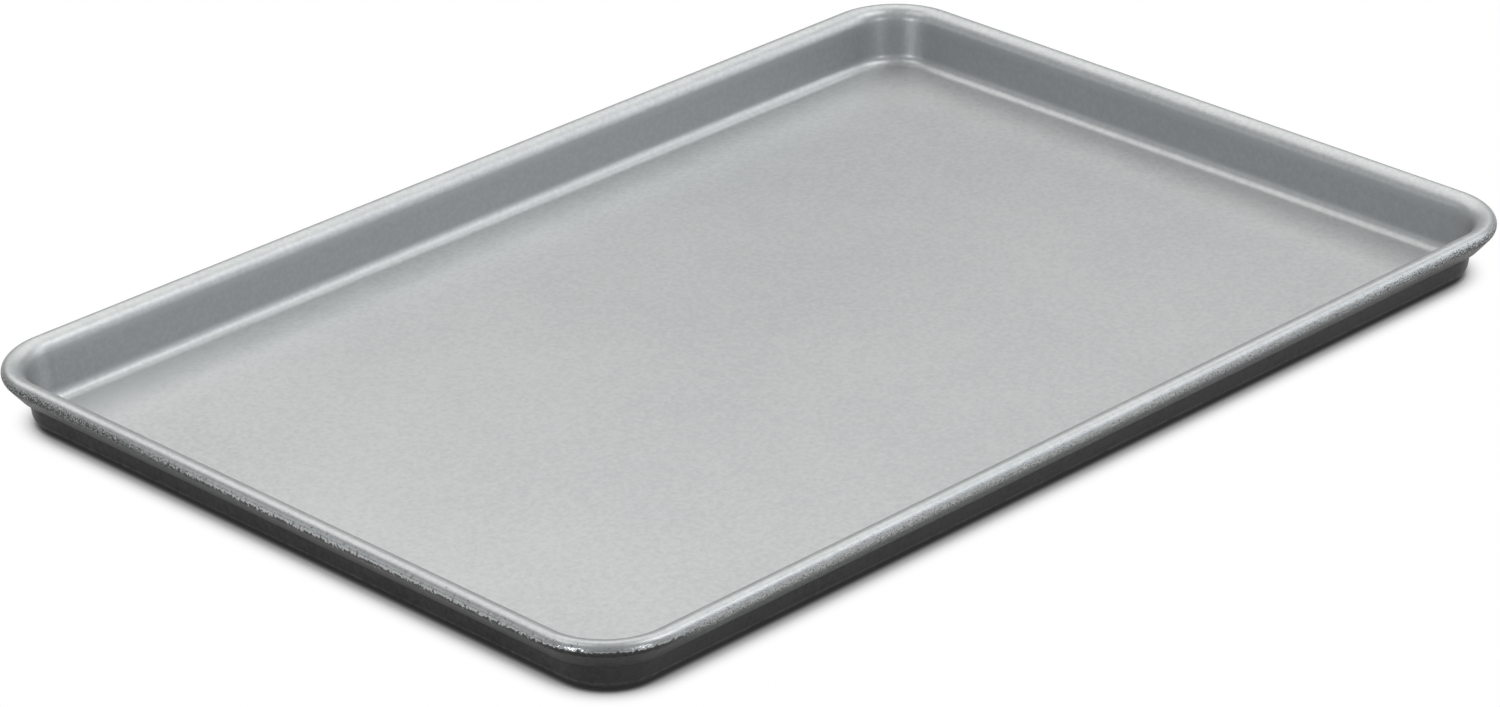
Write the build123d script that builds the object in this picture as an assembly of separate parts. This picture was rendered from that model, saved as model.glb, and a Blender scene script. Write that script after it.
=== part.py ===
from build123d import *
import math
import os

# Jelly roll pan: one drawn steel sheet whose edge is rolled over a stiffening wire.
# Millimetres, +Z up. The pan is centred on the origin with its length along X,
# and its underside stands on Z = 0.

# The whole pan
outer_length = 400.0
outer_width = 272.0
outer_height = 19.4
corner_radius = 25.5  # in plan, on the rim's outermost line

# The sheet, its wall and the bend at the wall's foot
sheet_thickness = 0.6
wall_draft = 7.0  # degrees out of upright
foot_radius = 4.0  # on the inside of the pan

# The rolled rim, with each bend's radius on the sheet's outer side
shoulder_radius = 5.0  # where the wall turns out over the rim
roll_radius = 2.5  # round the wire
underside_slope = 50.0  # degrees below level, from the roll back to the wall
lip_radius = 1.5
lip_turn = 60.0  # degrees that the lip curls past straight down
lip_gap = 0.2  # between the lip and the wall

# The wire in the roll
wire_clearance = 0.1
wire_joint_gap = 0.5  # between the wire's two ends, at the middle of a long side

# The section of the rim and wall lies in its own plane: X runs inward from the
# rim's outermost line and Y runs up from the underside.
foot_height = foot_radius + sheet_thickness
shoulder_centre = Vector(roll_radius, outer_height - shoulder_radius)
roll_centre = Vector(roll_radius, outer_height - roll_radius)
wall_normal = Vector(math.cos(math.radians(wall_draft)), math.sin(math.radians(wall_draft)))


def find_foot_centre():
    """The foot bend's centre, where the wall's line reaches the floor."""
    across = shoulder_radius + foot_radius
    rise = foot_height - shoulder_centre.Y
    inset = (across - rise * wall_normal.Y) / wall_normal.X
    return Vector(shoulder_centre.X + inset, foot_height)


def find_lip_centre():
    """The lip bend's centre, down the sloping underside and one gap short of the wall."""
    slope = math.radians(underside_slope)
    along = Vector(math.cos(slope), -math.sin(slope))
    outside = Vector(-math.sin(slope), -math.cos(slope))
    start = roll_centre + outside * (roll_radius - lip_radius)
    wall_back = shoulder_radius - sheet_thickness
    room = wall_back - lip_radius - lip_gap - (start - shoulder_centre).dot(wall_normal)
    return start + along * (room / along.dot(wall_normal))


foot_centre = find_foot_centre()
lip_centre = find_lip_centre()


def sheet_side(depth):
    """One side of the sheet's section, depth below the side that food touches.

    Directions are in degrees, with 90 straight up and 270 straight down.
    """
    roll_end = 270 - underside_slope
    foot = CenterArc(foot_centre, foot_radius + depth, 270, wall_draft - 90)
    shoulder = CenterArc(shoulder_centre, shoulder_radius - depth, wall_draft, 90 - wall_draft)
    roll = CenterArc(roll_centre, roll_radius - depth, 90, roll_end - 90)
    lip = CenterArc(lip_centre, lip_radius - depth, roll_end, underside_slope + lip_turn)
    wall = Line(foot @ 1, shoulder @ 0)
    slope = Line(roll @ 1, lip @ 0)
    return [foot, wall, shoulder, roll, slope, lip]


def sheet_section():
    """The closed section of the wall and the rolled rim."""
    front = sheet_side(0)
    back = sheet_side(sheet_thickness)
    floor_edge = Line(front[0] @ 0, back[0] @ 0)
    cut_edge = Line(front[-1] @ 1, back[-1] @ 1)
    return make_face(front + back + [floor_edge, cut_edge])


def wire_section():
    """The wire's round section, in the middle of the roll."""
    radius = roll_radius - sheet_thickness - wire_clearance
    return Pos(roll_centre.X, roll_centre.Y) * Circle(radius)


def round_the_rim(section):
    """A section carried round the whole rim, as a corner and two half sides, mirrored."""
    half_length = outer_length / 2
    half_width = outer_width / 2
    corner_x = half_length - corner_radius
    corner_y = half_width - corner_radius
    end_plane = Plane(origin=(half_length, corner_y, 0), x_dir=(-1, 0, 0), z_dir=(0, 1, 0))
    side_plane = Plane(origin=(corner_x, half_width, 0), x_dir=(0, -1, 0), z_dir=(-1, 0, 0))
    corner_axis = Axis((corner_x, corner_y, 0), (0, 0, 1))
    end_half = extrude(end_plane * section, -corner_y)
    side_half = extrude(side_plane * section, corner_x)
    corner = revolve(end_plane * section, corner_axis, 90)
    quarter = corner + [end_half, side_half]
    half = quarter + mirror(quarter, Plane.YZ)
    return half + mirror(half, Plane.XZ)


def make_pan_sheet():
    """Floor, walls and rolled rim, drawn from one sheet."""
    inset = foot_centre.X
    floor_length = outer_length - 2 * inset
    floor_width = outer_width - 2 * inset
    outline = RectangleRounded(floor_length, floor_width, corner_radius - inset)
    floor = extrude(outline, sheet_thickness)
    return round_the_rim(sheet_section()) + floor


def make_rim_wire():
    """The wire inside the roll, bent to the rim's outline and butted end to end."""
    ring = round_the_rim(wire_section())
    joint = Box(wire_joint_gap, 2 * roll_radius, 2 * roll_radius)
    joint_y = outer_width / 2 - roll_centre.X
    return ring - Pos(0, joint_y, roll_centre.Y) * joint


os.makedirs("parts", exist_ok=True)
export_step(make_pan_sheet(), "parts/pan_sheet.step")
export_step(make_rim_wire(), "parts/rim_wire.step")
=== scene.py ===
import math

import bmesh
import bpy
from mathutils import Matrix, Vector


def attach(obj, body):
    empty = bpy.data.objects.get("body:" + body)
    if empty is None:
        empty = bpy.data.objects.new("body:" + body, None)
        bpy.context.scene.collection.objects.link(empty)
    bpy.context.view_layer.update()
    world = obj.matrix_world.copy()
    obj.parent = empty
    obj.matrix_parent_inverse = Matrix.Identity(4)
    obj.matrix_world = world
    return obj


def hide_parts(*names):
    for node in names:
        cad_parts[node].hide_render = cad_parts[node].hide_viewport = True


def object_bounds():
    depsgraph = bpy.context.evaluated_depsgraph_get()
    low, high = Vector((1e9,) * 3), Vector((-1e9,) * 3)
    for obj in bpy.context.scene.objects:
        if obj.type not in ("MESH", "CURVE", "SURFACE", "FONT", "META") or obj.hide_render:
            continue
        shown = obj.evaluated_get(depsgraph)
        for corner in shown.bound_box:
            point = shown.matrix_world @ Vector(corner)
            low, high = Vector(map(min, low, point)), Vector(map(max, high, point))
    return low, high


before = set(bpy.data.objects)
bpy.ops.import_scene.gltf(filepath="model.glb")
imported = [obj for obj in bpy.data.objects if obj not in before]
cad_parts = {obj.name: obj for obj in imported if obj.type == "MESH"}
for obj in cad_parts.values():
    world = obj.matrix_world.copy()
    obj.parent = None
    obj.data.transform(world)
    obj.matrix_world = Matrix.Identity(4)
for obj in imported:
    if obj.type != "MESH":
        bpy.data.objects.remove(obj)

cadLow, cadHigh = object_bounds()
print("stage 1: frame loaded, nodes", sorted(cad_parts))

millimetre = 0.001


# A socket of a node tree that can be added, multiplied and so on in plain Python.
class Signal:
    def __init__(self, tree, socket=None):
        self.tree = tree
        self.socket = socket

    def add(self, kind, settings, inputs, output=0):
        made = self.tree.nodes.new(kind)
        for name, value in settings.items():
            if name == "stops":
                fillRamp(made.color_ramp, value)
            else:
                setattr(made, name, value)
        for name, value in inputs.items():
            if isinstance(value, Signal):
                self.tree.links.new(value.socket, made.inputs[name])
            else:
                made.inputs[name].default_value = value
        return Signal(self.tree, made.outputs[output]) if made.outputs else made

    def maths(self, operation, *values):
        return self.add("ShaderNodeMath", {"operation": operation}, dict(enumerate(values)))

    def __add__(self, other):
        return self.maths("ADD", self, other)

    def __sub__(self, other):
        return self.maths("SUBTRACT", self, other)

    def __rsub__(self, other):
        return self.maths("SUBTRACT", other, self)

    def __mul__(self, other):
        return self.maths("MULTIPLY", self, other)

    __radd__ = __add__
    __rmul__ = __mul__


def fillRamp(ramp, stops):
    ramp.elements[0].position, ramp.elements[1].position = stops[0][0], stops[-1][0]
    for place, shade in stops[1:-1]:
        ramp.elements.new(place)
    for element, (place, shade) in zip(ramp.elements, stops):
        element.color = (shade, shade, shade, 1.0)


def blendColours(factor, first, second):
    return factor.add("ShaderNodeMix", {"data_type": "RGBA"}, {0: factor, 6: first, 7: second}, 2)


def noise(coords, size, detail=2.0, roughness=0.5):
    # size is the width of one blotch, in metres
    inputs = {"Vector": coords, "Scale": 1.0 / size, "Detail": detail, "Roughness": roughness}
    return coords.add("ShaderNodeTexNoise", {}, inputs)


def slope(value, low, high, most=1.0):
    # 0 below low, most above high, straight in between; or downward, if high is the lower one
    inputs = {"Value": value, "From Min": low, "From Max": high, "To Max": most}
    return value.add("ShaderNodeMapRange", {"clamp": True}, inputs)


def profile(value, points, unit):
    # a value that runs through the given (place, height) points, with places counted in units
    low, high = points[0][0], points[-1][0]
    stops = [((place - low) / (high - low), height) for place, height in points]
    spread = slope(value, low * unit, high * unit)
    return spread.add("ShaderNodeValToRGB", {"stops": stops}, {"Fac": spread})


def newMaterial(name):
    material = bpy.data.materials.new(name)
    material.use_nodes = True
    material.node_tree.nodes.clear()
    return material, Signal(material.node_tree)


def closeMaterial(start, surface):
    start.add("ShaderNodeOutputMaterial", {}, {"Surface": surface})


# The coated sheet: pressed from one piece and rolled over the wire at its edge.
sheet = {
    "thickness": 0.6 * millimetre,
    "cornerRadius": 25.5 * millimetre,
    "wallDraft": 7.0,           # degrees out of upright
    "footRadius": 4.0 * millimetre,
    "shoulderRadius": 5.0 * millimetre,
    "rollRadius": 2.5 * millimetre,
    "undersideSlope": 50.0,     # degrees below level
    "lipRadius": 1.5 * millimetre,
    "lipTurn": 60.0,            # degrees past straight down
    "lipGap": 0.2 * millimetre,
    "cornerSteps": 40,
    "degreesPerStep": 5.0,      # of the section's bends
    "floorMargin": 3.0 * millimetre,
    "weldReach": 0.01 * millimetre,
    "sharpTurn": 60.0,          # degrees between faces, from which an edge is shown sharp
    "coatEdgeTurn": 128.0,      # degrees round the roll from its top, where the light coat ends
}


def sectionPoint(inward, height):
    # a point of the section where it starts, at the +Y end of the +X wall
    return Vector((cadHigh.x - inward, cadHigh.y - sheet["cornerRadius"], height))


def findBends():
    # the section's four bend centres, as distance inward from the rim and height
    draft = math.radians(sheet["wallDraft"])
    down = math.radians(sheet["undersideSlope"])
    wallNormal = Vector((math.cos(draft), math.sin(draft)))
    height = cadHigh.z
    shoulder = Vector((sheet["rollRadius"], height - sheet["shoulderRadius"]))
    roll = Vector((sheet["rollRadius"], height - sheet["rollRadius"]))
    footHeight = sheet["footRadius"] + sheet["thickness"]
    across = sheet["shoulderRadius"] + sheet["footRadius"]
    inset = (across - (footHeight - shoulder.y) * wallNormal.y) / wallNormal.x
    foot = Vector((shoulder.x + inset, footHeight))
    along = Vector((math.cos(down), -math.sin(down)))
    outside = Vector((-math.sin(down), -math.cos(down)))
    start = roll + outside * (sheet["rollRadius"] - sheet["lipRadius"])
    wallBack = sheet["shoulderRadius"] - sheet["thickness"]
    space = wallBack - sheet["lipRadius"] - sheet["lipGap"] - (start - shoulder).dot(wallNormal)
    lip = start + along * (space / along.dot(wallNormal))
    return foot, shoulder, roll, lip


def traceBend(work, vert, centre, radius, startAngle, turn):
    # carries a vertex straight to the bend's start, then round the bend; angles are in
    # degrees, with 0 pointing into the pan, 90 up and 180 outward
    middle = sectionPoint(*centre)
    angle = math.radians(startAngle)
    start = middle + radius * Vector((-math.cos(angle), 0.0, math.sin(angle)))
    if vert is None:
        vert = bmesh.ops.create_vert(work, co=start)["vert"][0]
    else:
        vert = bmesh.ops.extrude_vert_indiv(work, verts=[vert])["verts"][0]
        vert.co = start
    steps = max(1, round(abs(turn) / sheet["degreesPerStep"]))
    swept = bmesh.ops.spin(work, geom=[vert], cent=middle, axis=(0, 1, 0),
                           angle=math.radians(turn), steps=steps)
    return next(item for item in swept["geom_last"] if isinstance(item, bmesh.types.BMVert))


def traceSide(work, depth):
    # one side of the sheet's section, depth below the side that food touches
    foot, shoulder, roll, lip = findBends()
    draft, down = sheet["wallDraft"], sheet["undersideSlope"]
    rollTurn = 180.0 - down
    before = set(work.verts)
    vert = traceBend(work, None, foot, sheet["footRadius"] + depth, 270.0, draft - 90.0)
    vert = traceBend(work, vert, shoulder, sheet["shoulderRadius"] - depth, draft, 90.0 - draft)
    vert = traceBend(work, vert, roll, sheet["rollRadius"] - depth, 90.0, rollTurn)
    traceBend(work, vert, lip, sheet["lipRadius"] - depth, 90.0 + rollTurn, down + sheet["lipTurn"])
    return [item for item in work.verts if item not in before]


def markCoats(coat, front, back):
    # how far each point of the section is from the light coat's edge: above zero inside
    roll = findBends()[2]
    edgeAngle = math.radians(90.0 + sheet["coatEdgeTurn"])
    radius = sheet["rollRadius"]
    edge = sectionPoint(*roll) + radius * Vector((-math.cos(edgeAngle), 0, math.sin(edgeAngle)))
    travelled = [0.0]
    for here, there in zip(front, front[1:]):
        travelled.append(travelled[-1] + (there.co - here.co).length)
    edgeAt = min(zip(front, travelled), key=lambda pair: (pair[0].co - edge).length)[1]
    for vert, distance in zip(front, travelled):
        vert[coat] = edgeAt - distance
    for vert in back:
        vert[coat] = min(-radius, front[-1][coat])


def carryRound(work, ring):
    # turns the section round each corner and draws it along each side
    cornerX = cadHigh.x - sheet["cornerRadius"]
    cornerY = cadHigh.y - sheet["cornerRadius"]
    runs = [
        ((cornerX, cornerY), (-2 * cornerX, 0)),
        ((-cornerX, cornerY), (0, -2 * cornerY)),
        ((-cornerX, -cornerY), (2 * cornerX, 0)),
        ((cornerX, -cornerY), (0, 2 * cornerY)),
    ]
    for corner, run in runs:
        swept = bmesh.ops.spin(work, geom=ring, cent=(*corner, 0), axis=(0, 0, 1),
                               angle=math.radians(90), steps=sheet["cornerSteps"])
        edges = [item for item in swept["geom_last"] if isinstance(item, bmesh.types.BMEdge)]
        drawn = bmesh.ops.extrude_edge_only(work, edges=edges)["geom"]
        verts = [item for item in drawn if isinstance(item, bmesh.types.BMVert)]
        bmesh.ops.translate(work, verts=verts, vec=(*run, 0))
        ring = [item for item in drawn if not isinstance(item, bmesh.types.BMFace)]


def settleOrder(work):
    # spinning and filling leave edges and faces in an order that changes from run to run
    work.verts.index_update()
    count = len(work.verts)

    def rank(item):
        first, second, third = (sorted(vert.index for vert in item.verts) + [0])[:3]
        return (first * count + second) * count + third

    for items in (work.edges, work.faces):
        items.sort(key=rank)
        items.index_update()


def fillFloor(work):
    # closes the inner ring of each side with a face, and keeps the flat part's shading flat
    openEdges = [edge for edge in work.edges if edge.is_boundary]
    made = bmesh.ops.edgeloop_fill(work, edges=openEdges)["faces"]
    for face in made:
        bmesh.ops.inset_region(work, faces=[face], thickness=sheet["floorMargin"],
                               use_even_offset=True)


def buildPanSheet():
    work = bmesh.new()
    coat = work.verts.layers.float.new("coatPlace")
    front = traceSide(work, 0.0)
    back = traceSide(work, sheet["thickness"])
    work.edges.new((front[-1], back[-1]))
    markCoats(coat, front, back)
    carryRound(work, list(work.verts) + list(work.edges))
    bmesh.ops.remove_doubles(work, verts=work.verts, dist=sheet["weldReach"])
    settleOrder(work)
    fillFloor(work)
    settleOrder(work)
    bmesh.ops.recalc_face_normals(work, faces=work.faces)
    for face in work.faces:
        face.smooth = True
    sharpTurn = math.radians(sheet["sharpTurn"])
    for edge in work.edges:
        edge.smooth = edge.calc_face_angle(0.0) < sharpTurn
    mesh = bpy.data.meshes.new("coatedSheet")
    work.to_mesh(mesh)
    work.free()
    piece = bpy.data.objects.new("coatedSheet", mesh)
    bpy.context.scene.collection.objects.link(piece)
    return piece


# The two sprayed coats. The light one reaches over the rim and ends ragged underneath it.
# Two or three numbers in brackets are where a change starts, where it ends and how far it goes.
coats = {
    "light": (0.534, 0.546, 0.541, 1.0),
    "lightCool": (0.460, 0.473, 0.474, 1.0),
    # the light coat with painted light, for the floor
    "lightPaintedLit": (0.600, 0.612, 0.607, 1.0),
    # the light coat with painted shade, for the walls
    "lightPaintedShadeOnWall": (0.398, 0.406, 0.412, 1.0),
    "dark": (0.017, 0.017, 0.016, 1.0),
    # the dark coat's colour with dust and painted light
    "darkDustAndPaintedLight": (0.053, 0.053, 0.050, 1.0),
    # the colour of the wear where the pan rests, and of the painted reflection along the foot bend
    "rubbed": (0.16, 0.16, 0.155, 1.0),
    "lightRoughness": 0.4,
    "darkRoughness": 0.4,
    "patchRoughness": 0.1,      # how much the roughness changes from patch to patch
    "lightMetal": 0.6,
    "refraction": 1.2,
    "specularTint": (0.3, 0.3, 0.3, 1.0),
    "gloss": 0.5,               # weight of the clear top layer
    "glossRoughness": 0.2,

    "cloudSize": 70 * millimetre,
    "mottleSize": 14 * millimetre,
    "grainSize": 1.8 * millimetre,
    "grainRoughness": 0.7,      # of the pattern, not of the surface
    "grainDepth": 0.07 * millimetre,
    "patternDetail": 3.0,
    "grainRange": (0.38, 0.62),
    "cloudPart": 0.25,          # the rest of the light coat's pattern is grain
    "mottleRange": (0.35, 0.65, 0.7),
    "mottlePart": 0.3,          # the rest of the dark coat's pattern is grain

    # how thickly the light coat lies, from 0 to 1, against the millimetres left to where the
    # roll turns under: for the end that was sprayed square on, the sides that were sprayed
    # at a glance, and where either runs thin
    "squareOn": [(-8, 0.0), (-6.4, 0.0), (-5, 0.15), (-2.6, 0.19), (-0.15, 0.22), (0.9, 0.29),
                 (1.35, 0.4), (1.8, 0.56), (2.1, 0.68), (2.5, 0.73), (3.4, 0.75),
                 (4.6, 0.83), (5.5, 1.0)],
    "glancing": [(-8, 0.0), (-6.6, 0.2), (-5, 0.34), (-2.6, 0.4), (-0.15, 0.46), (1.1, 0.52),
                 (1.9, 0.62), (2.5, 0.71), (3.4, 0.76), (4.6, 0.84), (5.5, 1.0)],
    "thin": [(-8, 0.0), (-6.4, 0.0), (-5, 0.18), (-2.6, 0.24), (-0.15, 0.28), (0.8, 0.32),
             (1.6, 0.37), (2.2, 0.42), (2.9, 0.5), (3.6, 0.66), (4.2, 1.0)],
    "endSpray": (cadLow.x + 10 * millimetre, cadLow.x + 35 * millimetre),
    "thinEnd": (0.0, cadHigh.y - 60 * millimetre),
    "thinSide": (80 * millimetre, cadHigh.x - 20 * millimetre, 0.9),
    "nearCornerX": (cadLow.x + 45 * millimetre, cadLow.x + 12 * millimetre),
    "nearCornerY": (cadLow.y + 45 * millimetre, cadLow.y + 12 * millimetre),
    "missed": (2.6 * millimetre, 1.6 * millimetre, 0.3),   # what the spray missed at that corner

    # the specks that the coat breaks up into near its edge
    "speckSize": 1.0 * millimetre,
    "fineSpeckSize": 0.45 * millimetre,   # where the coat was sprayed at a glance
    "speckDepth": 0.22 * millimetre,
    "speckContrast": 2.5,
    "speckSpread": 1.8,         # how much the thickness moves the specks' edges
    "speckStart": 1.4,          # what thickness and noise together must reach
    "speckEdge": (-0.14, 0.14),
    "fineSoftness": 0.4,        # how much softer the fine specks' edges are
    "speckling": [(-8, 0.0), (-4, 0.3), (-0.5, 1.0), (2.0, 1.0), (3.2, 0.4), (4.5, 0.0)],
    "thinCalm": 0.6,            # how much weaker the specks stand out where a side runs thin
    "flakeShine": 0.25,         # how much smoother the coat's flakes are there
    "flakeMetal": 0.3,          # how much more metallic
    "flakeShade": 0.25,         # how much darker
    "dust": 0.2,                # light coat that settled between the specks

    # painted light on the floor, lighter towards the -X, +Y corner and near the +X and +Y walls;
    # and painted shade on the walls, where the light coat is darker between foot and shoulder
    "paintedLightAcross": (0.0, 280 * millimetre, 0.6),
    "paintedLightEnd": (cadHigh.x - 40 * millimetre, cadHigh.x - 16 * millimetre, 0.8),
    "paintedLightSide": (cadHigh.y - 40 * millimetre, cadHigh.y - 16 * millimetre, 0.4),
    "paintedLightHeight": (1.2 * millimetre, 0.7 * millimetre),
    "paintedLightGrain": (0.8, 0.6),   # the part that follows the grain, and the even part
    "paintedWallShade": [(2.4, 0.0), (4.8, 1.0), (12.5, 1.0), (16.5, 0.0)],   # millimetres up
    "paintedWallShadeGrain": (0.7, 0.55),   # the same two parts, for the walls

    # the outside: dust on the dark coat together with painted light, strongest near the near corner
    # and away from the -X end; a painted reflection of the table along the foot bend; and wear
    # below
    "outside": (-8.70 * millimetre, -8.75 * millimetre),
    "outsideDustAndLight": 0.07,
    "cornerPaintedLight": 0.6,
    "sidePaintedLight": 0.5,
    # painted reflection of the table, a lighter line along the foot bend
    "paintedFootReflection": [(2.5, 0.0), (2.9, 1.0), (3.2, 1.0), (3.6, 0.0)],   # millimetres up
    "footReflectionGrain": (0.3, 0.6),
    "restWear": [(0.0, 1.0), (0.15, 0.0)],   # millimetres up
    "restGrain": (0.5, 0.7),
    "wearAndGleam": 0.3,
}


def readSheet(start):
    # where a point lies on the sheet, and the patterns that both coats use
    coords = start.add("ShaderNodeTexCoord", {}, {}, "Object")
    at = {"coords": coords}
    for name, axis in (("across", "X"), ("sideways", "Y"), ("height", "Z")):
        at[name] = coords.add("ShaderNodeSeparateXYZ", {}, {0: coords}, axis)
    at["place"] = start.add("ShaderNodeAttribute", {"attribute_name": "coatPlace"}, {}, "Fac")
    detail = coats["patternDetail"]
    at["grain"] = noise(coords, coats["grainSize"], detail, coats["grainRoughness"])
    at["clouds"] = noise(coords, coats["cloudSize"], detail)
    at["mottle"] = noise(coords, coats["mottleSize"])
    at["outside"] = slope(at["place"], *coats["outside"])
    at["fromEnd"] = slope(at["across"], *coats["endSpray"])
    nearX = slope(at["across"], *coats["nearCornerX"])
    at["nearCorner"] = nearX * slope(at["sideways"], *coats["nearCornerY"])
    return at


def sprayLightCoat(at):
    # solid inside, thinning to specks at its edge
    coords, place, fromEnd = at["coords"], at["place"], at["fromEnd"]
    thinEnd = slope(at["sideways"], *coats["thinEnd"]) * (1 - fromEnd)
    thinSide = slope(at["across"], *coats["thinSide"])
    thinness = thinEnd + thinSide
    squareOn = profile(place, coats["squareOn"], millimetre) * (1 - fromEnd)
    glancing = profile(place, coats["glancing"], millimetre) * fromEnd
    thin = profile(place, coats["thin"], millimetre)
    missed = slope(place, *coats["missed"]) * at["nearCorner"]
    share = (squareOn + glancing) * (1 - thinness) + thin * thinness - missed

    fineness = fromEnd + thinEnd
    specks = noise(coords, coats["speckSize"]) * (1 - fineness)
    specks = specks + noise(coords, coats["fineSpeckSize"]) * fineness
    evenSpecks = (specks - 0.5) * coats["speckContrast"] + 0.5
    covered = evenSpecks + share * coats["speckSpread"] - coats["speckStart"]
    at["share"], at["specks"] = share, specks
    at["cover"] = slope(covered * (1 - fineness * coats["fineSoftness"]), *coats["speckEdge"])
    speckling = profile(place, coats["speckling"], millimetre)
    at["speckling"] = speckling * (1 - thinSide * coats["thinCalm"])


def lightCoatTone(at):
    grain = slope(at["grain"], *coats["grainRange"])
    pattern = at["clouds"] * coats["cloudPart"] + at["grain"] * (1 - coats["cloudPart"])
    pattern = slope(pattern, *coats["grainRange"])
    tone = blendColours(pattern, coats["lightCool"], coats["light"])
    # painted light: the flat floor is lighter towards the -X, +Y corner and near the +X and +Y
    # walls
    paintedLight = slope(at["sideways"] - at["across"], *coats["paintedLightAcross"])
    paintedLight = paintedLight + slope(at["across"], *coats["paintedLightEnd"])
    paintedLight = paintedLight + slope(at["sideways"], *coats["paintedLightSide"])
    paintedLight = paintedLight * slope(at["height"], *coats["paintedLightHeight"])
    grainy, even = coats["paintedLightGrain"]
    tone = blendColours(paintedLight * (pattern * grainy + even), tone, coats["lightPaintedLit"])
    grainy, even = coats["paintedWallShadeGrain"]
    # painted shade: the light coat is darker on the walls, between the foot and the shoulder
    wallShade = profile(at["height"], coats["paintedWallShade"], millimetre) * (grain * grainy + even)
    return blendColours(wallShade, tone, coats["lightPaintedShadeOnWall"])


def darkCoatTone(at):
    height, grain = at["height"], at["grain"]
    pattern = at["mottle"] * coats["mottlePart"] + grain * (1 - coats["mottlePart"])
    # painted light, partly dust: the dark coat is lighter outside, most near the near corner and
    # away from the -X end
    dust = at["nearCorner"] * coats["cornerPaintedLight"] + at["fromEnd"] * coats["sidePaintedLight"]
    dust = at["outside"] * (dust + coats["outsideDustAndLight"])
    tone = blendColours(slope(pattern, *coats["mottleRange"]) + dust,
                        coats["dark"], coats["darkDustAndPaintedLight"])
    # painted reflection: a lighter line along the foot bend, where it would mirror the table
    footReflection = profile(height, coats["paintedFootReflection"], millimetre)
    footReflection = footReflection * slope(grain, *coats["footReflectionGrain"])
    rubbed = profile(height, coats["restWear"], millimetre) * slope(grain, *coats["restGrain"])
    # worn holds the painted reflection along the foot bend as well as the wear where the pan rests
    worn = at["outside"] * (footReflection + rubbed)
    return blendColours(worn * coats["wearAndGleam"], tone, coats["rubbed"])


def makeCoatMaterial():
    material, start = newMaterial("sprayedCoats")
    at = readSheet(start)
    sprayLightCoat(at)
    cover, flakes = at["cover"], at["speckling"]

    cast = cover * (1 - flakes * coats["flakeShade"]) + (1 - cover) * at["share"] * coats["dust"]
    tone = blendColours(cast, darkCoatTone(at), lightCoatTone(at))
    rough = cover * (coats["lightRoughness"] - coats["darkRoughness"]) + coats["darkRoughness"]
    rough = rough + (at["mottle"] - 0.5) * coats["patchRoughness"]
    rough = rough - cover * flakes * coats["flakeShine"]
    metal = cover * (flakes * coats["flakeMetal"] + coats["lightMetal"])
    relief = at["specks"] * flakes * coats["speckDepth"] + at["grain"] * coats["grainDepth"]
    bump = start.add("ShaderNodeBump", {}, {"Strength": 1.0, "Distance": 1.0,
                                            "Height": relief}, "Normal")
    surface = start.add("ShaderNodeBsdfPrincipled", {}, {
        "Base Color": tone, "Roughness": rough, "Metallic": metal, "Normal": bump,
        "IOR": coats["refraction"], "Specular Tint": coats["specularTint"],
        "Coat Weight": cover * coats["gloss"], "Coat Roughness": coats["glossRoughness"]})
    closeMaterial(start, surface)
    return material


# The wire in the roll, which shows only through the gap at the lip.
wire = {
    "steel": (0.42, 0.42, 0.43, 1.0),
    "worn": (0.30, 0.29, 0.28, 1.0),
    "roughness": 0.35,
    "roughnessSpread": 0.15,
    "drawSize": 0.6 * millimetre,
    "drawDetail": 3.0,
    "drawDepth": 0.02 * millimetre,
    "drawStrength": 0.2,
    "patchSize": 8 * millimetre,
    "patchRange": (0.4, 0.6),
}


def makeWireMaterial():
    material, start = newMaterial("drawnWire")
    coords = start.add("ShaderNodeTexCoord", {}, {}, "Object")
    drawn = noise(coords, wire["drawSize"], wire["drawDetail"])
    patches = noise(coords, wire["patchSize"])
    tone = blendColours(slope(patches, *wire["patchRange"]), wire["steel"], wire["worn"])
    rough = drawn * wire["roughnessSpread"] + wire["roughness"]
    bump = start.add("ShaderNodeBump", {}, {"Strength": wire["drawStrength"],
                                            "Distance": wire["drawDepth"],
                                            "Height": drawn}, "Normal")
    surface = start.add("ShaderNodeBsdfPrincipled", {}, {
        "Base Color": tone, "Roughness": rough, "Metallic": 1.0, "Normal": bump})
    closeMaterial(start, surface)
    return material


# The white table that the pan stands on, with the pan's shadow painted into its glow where the pan
# is close to it.
table = {
    "span": 10.0,
    "white": (1.0, 1.0, 1.0, 1.0),
    # the colour of the painted shadow, right against the pan
    "shaded": (0.03, 0.03, 0.03, 1.0),
    "bounce": (0.93, 0.93, 0.93, 1.0),
    "shadeReach": 11 * millimetre,
    "shadeSamples": 32,
    "shadeProfile": [(0.22, 0.0), (0.33, 0.07), (0.40, 0.18), (0.44, 0.27), (0.49, 0.43),
                     (0.56, 0.67), (0.63, 0.82), (0.70, 0.92), (0.78, 0.975), (0.86, 1.0)],
}


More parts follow.
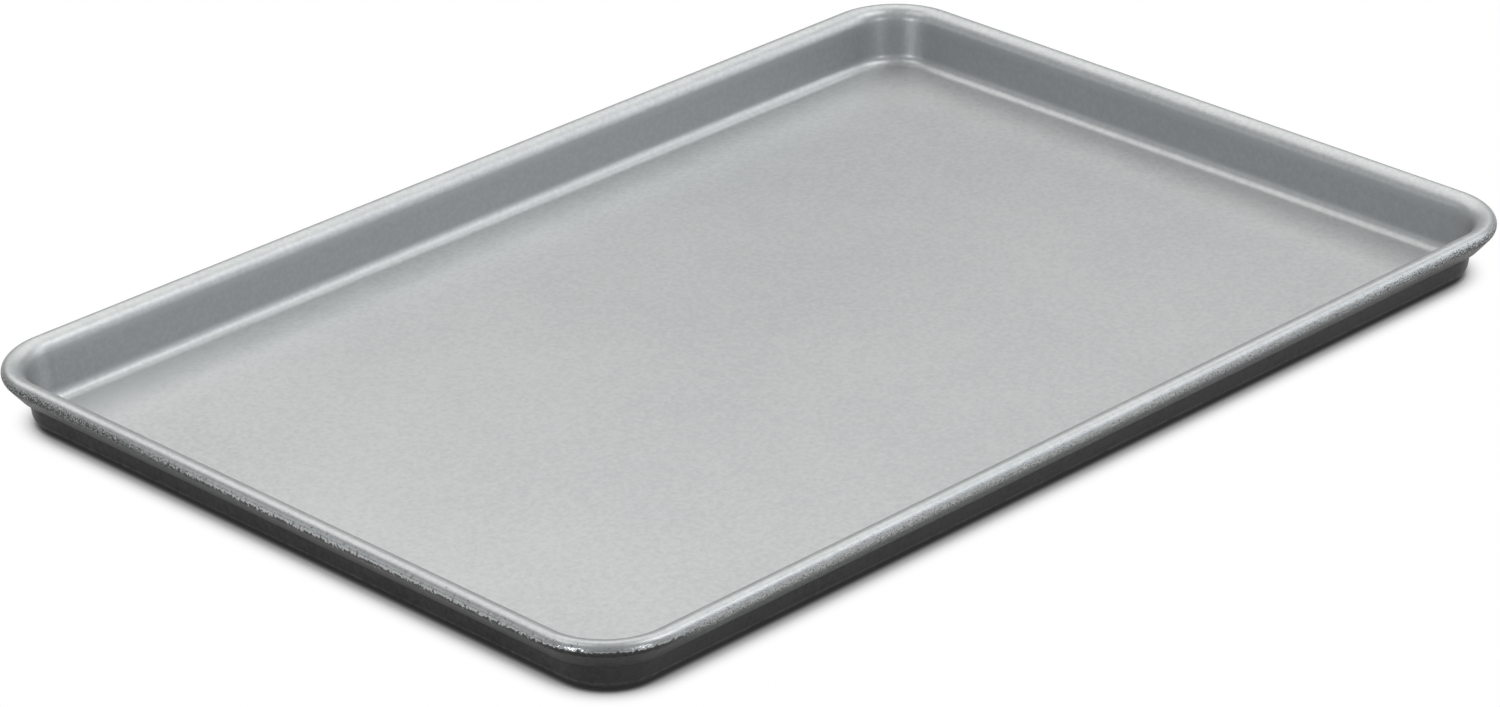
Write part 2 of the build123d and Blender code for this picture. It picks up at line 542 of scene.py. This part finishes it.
def buildTable():
    work = bmesh.new()
    bmesh.ops.create_grid(work, x_segments=1, y_segments=1, size=table["span"] / 2)
    mesh = bpy.data.meshes.new("table")
    work.to_mesh(mesh)
    work.free()
    piece = bpy.data.objects.new("table", mesh)
    bpy.context.scene.collection.objects.link(piece)
    material, start = newMaterial("whiteTableWithPaintedShadow")
    # painted shadow: the glow that the camera and reflections see darkens where the pan is within
    # reach above and beside a point
    openness = start.add("ShaderNodeAmbientOcclusion", {"samples": table["shadeSamples"]},
                         {"Distance": table["shadeReach"]}, "AO")
    tone = blendColours(profile(openness, table["shadeProfile"], 1), table["shaded"],
                        table["white"])
    seen = start.add("ShaderNodeLightPath", {}, {}, "Is Camera Ray")
    mirrored = start.add("ShaderNodeLightPath", {}, {}, "Is Glossy Ray")
    through = start.add("ShaderNodeLightPath", {}, {}, "Is Transmission Ray")
    paintedShadowGlow = start.add("ShaderNodeEmission", {}, {"Color": tone, "Strength": 1.0})
    chalk = start.add("ShaderNodeBsdfDiffuse", {}, {"Color": table["bounce"]})
    closeMaterial(start, start.add("ShaderNodeMixShader", {}, {
        0: seen + mirrored + through, 1: chalk, 2: paintedShadowGlow}))
    piece.data.materials.append(material)
    return piece


# The studio: soft panels behind and beside the pan, and two upright strips in front of it.
# Each is placed by its bearing and its height above the table, in degrees.
studio = {
    "distance": 1.7,
    "warm": (1.0, 1.0, 0.985),
    "cool": (0.95, 0.99, 1.05),
    "panels": {
        "back": {"bearing": 53, "rise": 50, "size": (2.5, 1.3), "glow": 1.52, "tint": "warm"},
        "rightBack": {"bearing": 326, "rise": 35, "size": (0.8, 1.05), "glow": 1.75,
                      "tint": "cool"},
        "rightLow": {"bearing": 316, "rise": 11, "size": (0.8, 0.5), "glow": 0.9,
                     "tint": "cool"},
        "leftLow": {"bearing": 140, "rise": 19, "size": (0.8, 0.45), "glow": 0.6,
                    "tint": "cool"},
        "rightHigh": {"bearing": 312, "rise": 62, "size": (0.8, 0.65), "glow": 3.2,
                      "tint": "warm"},
        "leftHigh": {"bearing": 150, "rise": 62, "size": (0.8, 0.65), "glow": 1.95,
                     "tint": "warm"},
        "leftStrip": {"bearing": 187, "rise": 15, "size": (0.14, 0.45), "glow": 18.0,
                      "tint": "cool"},
        "rightStrip": {"bearing": 262, "rise": 20, "size": (0.14, 0.5), "glow": 11.0,
                       "tint": "cool"},
    },
}
room = {"shade": (0.98, 1.0, 1.02, 1.0), "strength": 0.35}


def aimed(place, target, roll=0.0):
    turn = (Vector(target) - Vector(place)).to_track_quat("-Z", "Y").to_matrix()
    turn = turn @ Matrix.Rotation(math.radians(roll), 3, "Z")
    return Matrix.Translation(place) @ turn.to_4x4()


def lightStudio():
    for name, panel in studio["panels"].items():
        bearing, rise = math.radians(panel["bearing"]), math.radians(panel["rise"])
        reach = studio["distance"] * math.cos(rise)
        place = Vector((reach * math.cos(bearing), reach * math.sin(bearing),
                        studio["distance"] * math.sin(rise)))
        data = bpy.data.lights.new(name, "AREA")
        data.shape = "RECTANGLE"
        data.size, data.size_y = panel["size"]
        data.energy = panel["glow"] * math.pi * data.size * data.size_y
        data.color = studio[panel["tint"]]
        light = bpy.data.objects.new(name, data)
        light.matrix_world = aimed(place, (0, 0, 0))
        bpy.context.scene.collection.objects.link(light)
    world = bpy.data.worlds.new("room")
    bpy.context.scene.world = world
    world.use_nodes = True
    world.node_tree.nodes.clear()
    start = Signal(world.node_tree)
    background = start.add("ShaderNodeBackground", {},
                           {"Color": room["shade"], "Strength": room["strength"]})
    start.add("ShaderNodeOutputWorld", {}, {"Surface": background})


# The camera, worked out from the photograph's outlines. Metres from the pan's middle.
camera = {
    "place": (-1.0919, -1.0815, 0.7326),
    "target": (-0.0091, -0.0015, 0.0),
    "roll": -0.82,
    "lens": 134.2,
    "sensor": 36.0,
}


def setCamera():
    data = bpy.data.cameras.new("camera")
    data.lens = camera["lens"]
    data.sensor_width = camera["sensor"]
    data.sensor_fit = "HORIZONTAL"
    piece = bpy.data.objects.new("camera", data)
    piece.matrix_world = aimed(camera["place"], camera["target"], camera["roll"])
    bpy.context.scene.collection.objects.link(piece)
    bpy.context.scene.camera = piece


setCamera()
lightStudio()
buildTable()
print("stage 2: camera, lights and table ready")

panSheet = buildPanSheet()
panSheet.data.materials.append(makeCoatMaterial())
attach(panSheet, "root")
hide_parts("pan_sheet")
print("stage 3: coated sheet built,", len(panSheet.data.polygons), "faces")

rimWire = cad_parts["rim_wire"]
rimWire.data.materials.clear()
rimWire.data.materials.append(makeWireMaterial())
print("stage 4: wire finished")

bpy.context.scene.view_settings.view_transform = "Standard"
